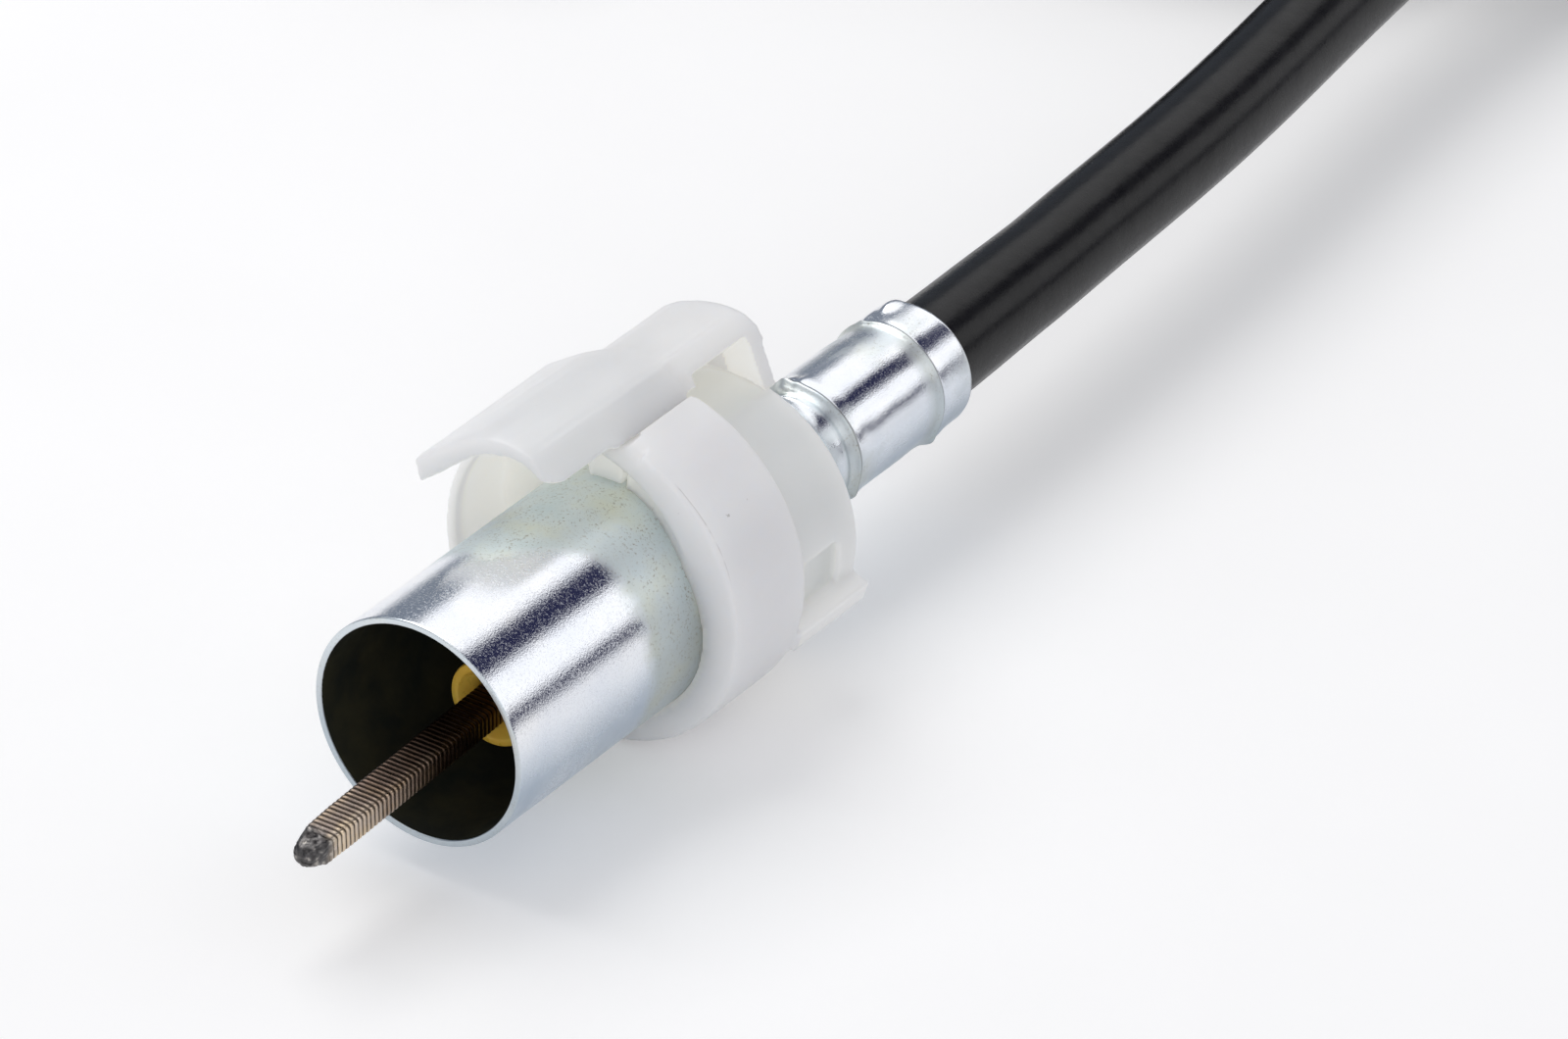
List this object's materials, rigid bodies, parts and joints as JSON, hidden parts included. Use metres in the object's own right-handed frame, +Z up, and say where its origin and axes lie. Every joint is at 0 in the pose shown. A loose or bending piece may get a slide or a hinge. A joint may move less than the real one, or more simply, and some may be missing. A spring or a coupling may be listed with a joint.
{
  "type": "speedometer drive cable",
  "caption": "Flexible drive cable with a steel push-on sleeve, a snap clip with a release lever, a squared inner shaft, and a coupling nut at its other end.",
  "frame": {"origin": "on the bench under the middle of the connector, which is measured from the shaft's tip to the sleeve's crimped end", "axes": "+Y runs along the sleeve from its open mouth to the casing, +X is to the right when looking along +Y, +Z is up from the bench"},
  "size_m": [0.1037, 0.2419, 0.0285],
  "materials": {
    "connector_sleeve": "bright zinc-plated drawn steel with faint speckle",
    "clip_body": "natural white moulded nylon, slightly translucent",
    "release_lever": "natural white moulded nylon, slightly translucent",
    "casing_bush": "yellow brass",
    "steel_conduit": "dark wound steel strip",
    "casing_end": "black soft plastic",
    "drive_shaft": "brown-black wound spring wire, greased",
    "casing_run": "black soft plastic, satin",
    "casing_coil": "black soft plastic, satin",
    "casing_tail": "black soft plastic, satin",
    "far_ferrule": "bright zinc-plated steel",
    "far_bush": "yellow brass",
    "far_conduit": "dark wound steel strip",
    "thrust_washer": "natural nylon",
    "far_drive_shaft": "brown-black wound spring wire, greased",
    "sealing_washer": "black rubber",
    "coupling_nut": "zinc-plated steel"
  },
  "bodies": {
    "connector": {"connector_sleeve": "connector_sleeve", "clip_body": "clip_body", "casing_bush": "casing_bush", "steel_conduit": "steel_conduit", "casing_end": "casing_end", "casing_run": "casing_run", "casing_coil": "casing_coil", "casing_tail": "casing_tail", "far_ferrule": "far_ferrule", "far_bush": "far_bush", "far_conduit": "far_conduit", "sealing_washer": "sealing_washer"},
    "inner_shaft": {"drive_shaft": "drive_shaft"},
    "lever": {"release_lever": "release_lever"},
    "far_shaft": {"far_drive_shaft": "far_drive_shaft", "thrust_washer": "thrust_washer"},
    "nut": {"coupling_nut": "coupling_nut"}
  },
  "joints": [
    {"name": "shaft_spin", "type": "hinge", "parent": "connector", "child": "inner_shaft", "pos_m": [0.00075, 0.03165, 0.012], "axis": [0, 0.9989, 0.0462], "continuous": true},
    {"name": "far_shaft_spin", "type": "hinge", "parent": "connector", "child": "far_shaft", "pos_m": [-0.08141, 0.09772, 0.009], "axis": [0, -1, 0], "continuous": true},
    {"name": "nut_spin", "type": "hinge", "parent": "connector", "child": "nut", "pos_m": [-0.08141, 0.09772, 0.009], "axis": [0, -1, 0], "continuous": true},
    {"name": "lever_lift", "type": "hinge", "parent": "connector", "child": "lever", "pos_m": [-0.00242, 0.0149, 0.02305], "axis": [-0.9613, 0, -0.2756], "range_deg": [0, 12], "stiffness_Nm_per_rad": 0.02}
  ],
  "couplings": [
    {"joint": "far_shaft_spin", "follows": "shaft_spin", "ratio": 1}
  ]
}
